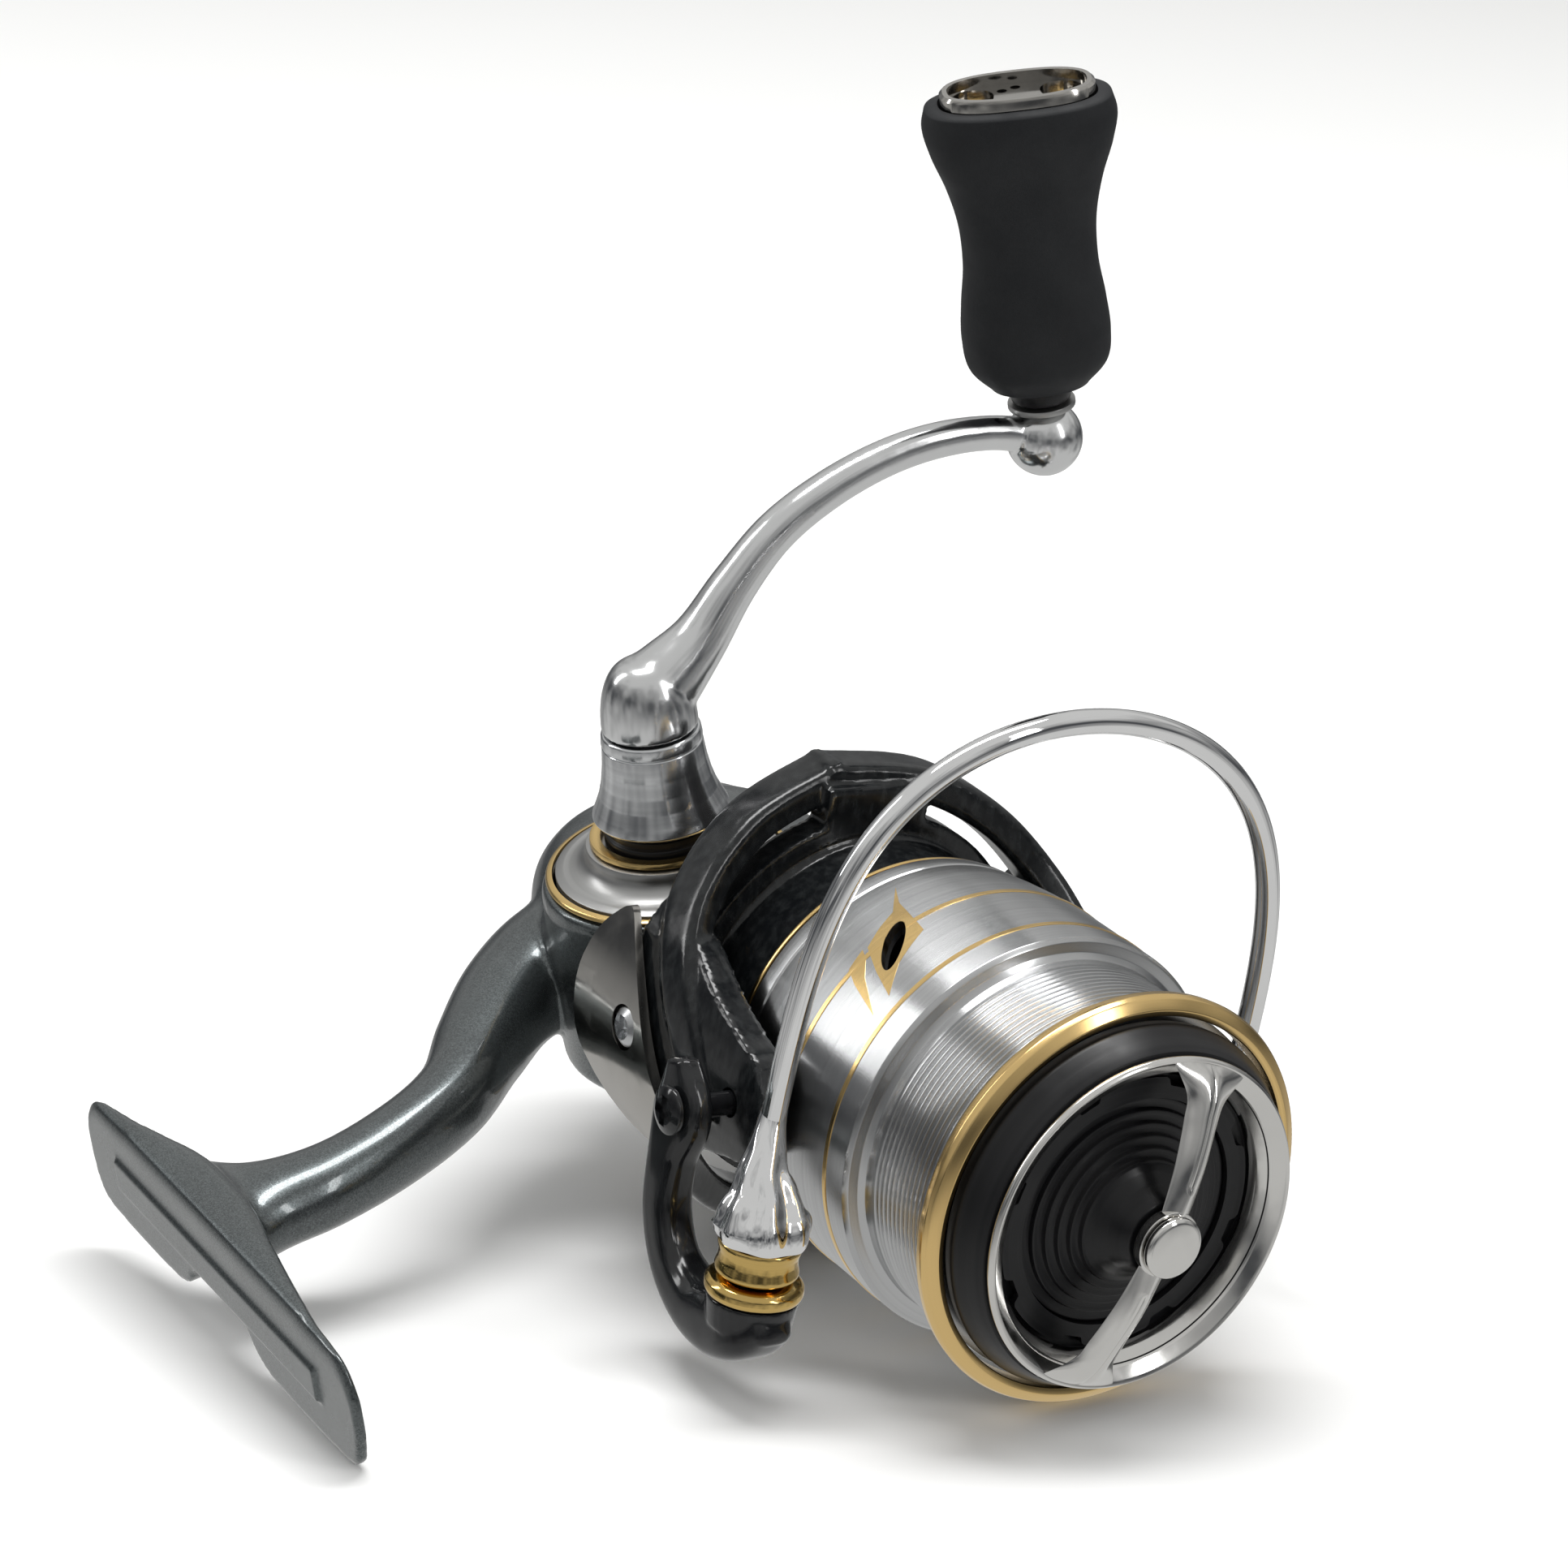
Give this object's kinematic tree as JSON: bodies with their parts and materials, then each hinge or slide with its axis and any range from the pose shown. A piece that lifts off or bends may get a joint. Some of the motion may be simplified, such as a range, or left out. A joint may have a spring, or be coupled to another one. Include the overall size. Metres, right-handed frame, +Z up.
{
  "type": "spinning fishing reel",
  "caption": "Spinning reel with gearbox body, rod foot, geared rotor with flipping bail, sliding drag spool and cranked handle, lying on its side.",
  "frame": {"origin": "centre of the bounding box on the resting surface", "axes": "+Z up; the spool axis points close to +X and dips slightly, the handle side is up and the rod foot points to -Y"},
  "size_m": [0.1102, 0.111, 0.1276],
  "materials": {
    "gunmetal_paint": "dark grey metallic paint under clear coat",
    "gloss_black": "glossy black composite",
    "matte_black": "matte black anodised look",
    "soft_black": "soft matt black",
    "machined_aluminium": "turned and brushed",
    "satin_aluminium": "satin",
    "bright_chrome": "polished",
    "smoked_chrome": "dark smoked chrome",
    "gold_anodised": "gold anodised, polished cut",
    "brass": "machined",
    "steel": "ground",
    "carbon_washer": "woven carbon friction face"
  },
  "bodies": {
    "frame": {"body_shell": "gunmetal_paint", "drive_cover": "satin_aluminium", "drive_cover_ring": "gold_anodised", "drive_trim_ring": "gold_anodised", "drive_seal": "soft_black", "drive_bearing_cover_side": "steel", "drive_bearing_far_side": "steel", "handle_port_cap": "matte_black", "handle_port_ring": "gold_anodised", "pinion_bearing": "steel", "clutch_outer": "steel", "clutch_retainer": "matte_black", "slider_rail_upper": "steel", "slider_rail_lower": "steel", "rear_cover": "matte_black"},
    "handle": {"drive_gear": "satin_aluminium", "handle_shaft": "steel", "handle_collar": "machined_aluminium", "handle_arm": "machined_aluminium", "knob_post": "matte_black", "knob_washer": "satin_aluminium"},
    "handle_knob": {"knob_grip": "soft_black", "knob_bearing_inner": "steel", "knob_bearing_outer": "steel", "knob_end_cap": "smoked_chrome"},
    "rotor": {"rotor_frame": "gloss_black", "pinion": "brass", "clutch_sleeve": "steel", "rotor_nut": "steel", "arm_cover_bail": "smoked_chrome", "arm_cover_far": "smoked_chrome", "arm_cover_screw_bail": "steel", "arm_cover_screw_far": "steel", "bail_pivot_screw_near": "steel", "bail_pivot_screw_far": "steel"},
    "bail": {"bail_wire": "bright_chrome", "bail_wire_base": "bright_chrome", "bail_lever": "gloss_black", "roller_pin": "steel", "roller_flange": "gold_anodised"},
    "line_roller": {"line_roller": "gold_anodised", "roller_bearing": "steel"},
    "worm": {"worm_shaft": "steel"},
    "spool_shaft": {"main_shaft": "steel", "slider": "brass", "spool_seat": "matte_black", "drag_washer_keyed": "steel"},
    "spool": {"spool": "machined_aluminium", "spool_lip": "gold_anodised", "spool_rear_ring": "gold_anodised", "spool_bearing": "steel", "clicker_ring": "matte_black", "drag_washer_rear": "carbon_washer", "drag_washer_front": "carbon_washer", "drag_retainer": "steel"},
    "drag_knob": {"drag_knob_body": "matte_black", "drag_knob_seal": "soft_black", "drag_knob_bridge": "bright_chrome", "drag_knob_cap": "bright_chrome"}
  },
  "joints": [
    {"name": "handle_turn", "type": "hinge", "parent": "frame", "child": "handle", "pos_m": [-0.02326, 0.00734, 0.04585], "axis": [0.0881, -0.2277, 0.9697], "continuous": true},
    {"name": "rotor_spin", "type": "hinge", "parent": "frame", "child": "rotor", "pos_m": [-0.00588, 0.02202, 0.02709], "axis": [0.9959, 0, -0.0905], "continuous": true},
    {"name": "worm_turn", "type": "hinge", "parent": "frame", "child": "worm", "pos_m": [-0.03162, 0.02961, 0.03121], "axis": [0.9959, 0, -0.0905], "continuous": true},
    {"name": "shaft_stroke", "type": "slide", "parent": "frame", "child": "spool_shaft", "axis": [0.9959, 0, -0.0905], "range_m": [-0.009, 0.002]},
    {"name": "spool_slip", "type": "hinge", "parent": "spool_shaft", "child": "spool", "pos_m": [0.04391, 0.02202, 0.02257], "axis": [0.9959, 0, -0.0905], "continuous": true},
    {"name": "drag_knob_turn", "type": "hinge", "parent": "spool_shaft", "child": "drag_knob", "pos_m": [0.0469, 0.02202, 0.0223], "axis": [0.9959, 0, -0.0905], "range_deg": [-540, 540]},
    {"name": "bail_flip", "type": "hinge", "parent": "rotor", "child": "bail", "pos_m": [0.01304, 0.02202, 0.02537], "axis": [-0.0045, 0.9988, -0.0493], "range_deg": [0, 95]},
    {"name": "line_roller_spin", "type": "hinge", "parent": "bail", "child": "line_roller", "pos_m": [0.0281, -0.00989, 0.01655], "axis": [0.0903, 0.0495, 0.9947], "continuous": true},
    {"name": "knob_spin", "type": "hinge", "parent": "handle", "child": "handle_knob", "pos_m": [-0.01412, 0.04562, 0.10557], "axis": [0.0881, -0.2277, 0.9697], "continuous": true}
  ],
  "couplings": [
    {"joint": "rotor_spin", "follows": "handle_turn", "ratio": 5.1429},
    {"joint": "worm_turn", "follows": "handle_turn", "ratio": -3.6}
  ]
}
